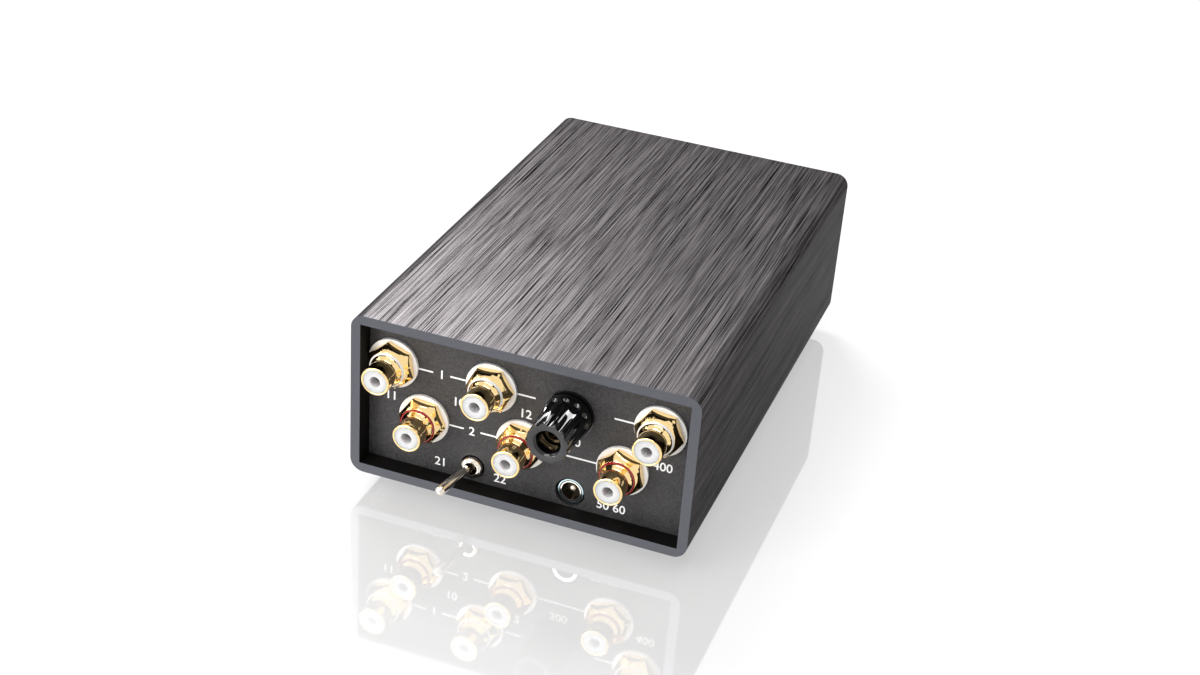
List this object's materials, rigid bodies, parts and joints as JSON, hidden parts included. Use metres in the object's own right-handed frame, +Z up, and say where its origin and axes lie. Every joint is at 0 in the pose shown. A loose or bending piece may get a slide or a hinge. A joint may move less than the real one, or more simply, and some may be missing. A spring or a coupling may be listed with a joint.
{
  "type": "phono preamp",
  "caption": "Desktop phono preamp in a black rectangular tube case: gold phono sockets, earth binding post, toggle switch and power jack on a recessed panel, on rubber feet.",
  "frame": {"origin": "on the surface the feet stand on, under the middle of the overall width and length", "axes": "+Z up, -Y out of the connector panel, +X to the right seen from the connector side"},
  "size_m": [0.1, 0.1668, 0.056],
  "materials": {
    "black_anodised": "brushed, black anodised, grain along the tube",
    "black_powder_coat": "fine-textured powder coat",
    "zinc_plate": "zinc plated",
    "black_screw": "blackened steel",
    "rubber": "matt black rubber",
    "brass": "turned brass",
    "gold_plate": "polished gold plate",
    "white_insulator": "white insulating plastic",
    "white_ring": "white enamel ring",
    "red_ring": "red enamel ring",
    "tinned_metal": "tinned",
    "black_plastic": "glossy black moulded plastic",
    "nickel": "bright nickel plate",
    "switch_red": "moulded plastic",
    "board_green": "solder mask",
    "capacitor_sleeve": "shrink sleeve",
    "film_red": "dipped resin",
    "chip_black": "moulded epoxy",
    "relay_cream": "moulded plastic",
    "resistor_blue": "lacquer",
    "wire_red": "wire sleeve",
    "wire_green": "wire sleeve",
    "lens": "clear moulded lens"
  },
  "bodies": {
    "case": {"case_tube": "black_anodised", "connector_panel": "black_powder_coat", "front_panel": "black_powder_coat", "press_nuts": "zinc_plate", "foot_screws": "zinc_plate", "board_nuts": "zinc_plate", "panel_screws": "black_screw", "foot_near_left": "rubber", "foot_near_right": "rubber", "foot_far_left": "rubber", "foot_far_right": "rubber", "board_spacers": "brass", "centre_contacts": "brass", "post_stud": "brass", "post_nut": "brass", "mc_in_left_shell": "gold_plate", "mc_in_right_shell": "gold_plate", "mm_in_left_shell": "gold_plate", "mm_in_right_shell": "gold_plate", "line_out_left_shell": "gold_plate", "line_out_right_shell": "gold_plate", "socket_nuts": "gold_plate", "mc_in_left_insulator": "white_insulator", "mc_in_right_insulator": "white_insulator", "mm_in_left_insulator": "white_insulator", "mm_in_right_insulator": "white_insulator", "line_out_left_insulator": "white_insulator", "line_out_right_insulator": "white_insulator", "outer_washers": "white_insulator", "inner_washers": "white_insulator", "white_rings": "white_ring", "red_rings": "red_ring", "solder_tags": "tinned_metal", "post_tag": "tinned_metal", "switch_tags": "tinned_metal", "jack_tags": "tinned_metal", "post_base": "black_plastic", "post_inner_washer": "black_plastic", "jack_body": "black_plastic", "switch_bushing": "nickel", "jack_nose": "nickel", "jack_sleeve": "nickel", "jack_pin": "nickel", "switch_body": "switch_red", "circuit_board": "board_green", "supply_capacitors": "capacitor_sleeve", "coupling_capacitors": "capacitor_sleeve", "film_capacitors": "film_red", "amplifier_chips": "chip_black", "regulators": "chip_black", "input_relays": "relay_cream", "resistors": "resistor_blue", "signal_wires": "wire_red", "earth_wires": "wire_green", "indicator_light": "lens"},
    "lever": {"switch_lever": "nickel"},
    "cap_carrier": {"cap_liner": "brass"},
    "cap": {"post_cap": "black_plastic"}
  },
  "joints": [
    {"name": "switch_throw", "type": "hinge", "parent": "case", "child": "lever", "pos_m": [-0.0151, -0.0643, 0.0135], "axis": [0, 0, 1], "range_deg": [0, 20]},
    {"name": "cap_travel", "type": "slide", "parent": "case", "child": "cap_carrier", "axis": [0, -1, 0], "range_m": [0, 0.004]},
    {"name": "cap_turn", "type": "hinge", "parent": "cap_carrier", "child": "cap", "pos_m": [0.0123, -0.0748, 0.0383], "axis": [0, -1, 0], "range_deg": [0, 1800]}
  ],
  "couplings": [
    {"joint": "cap_turn", "follows": "cap_travel", "rad_per_m": 7854}
  ]
}
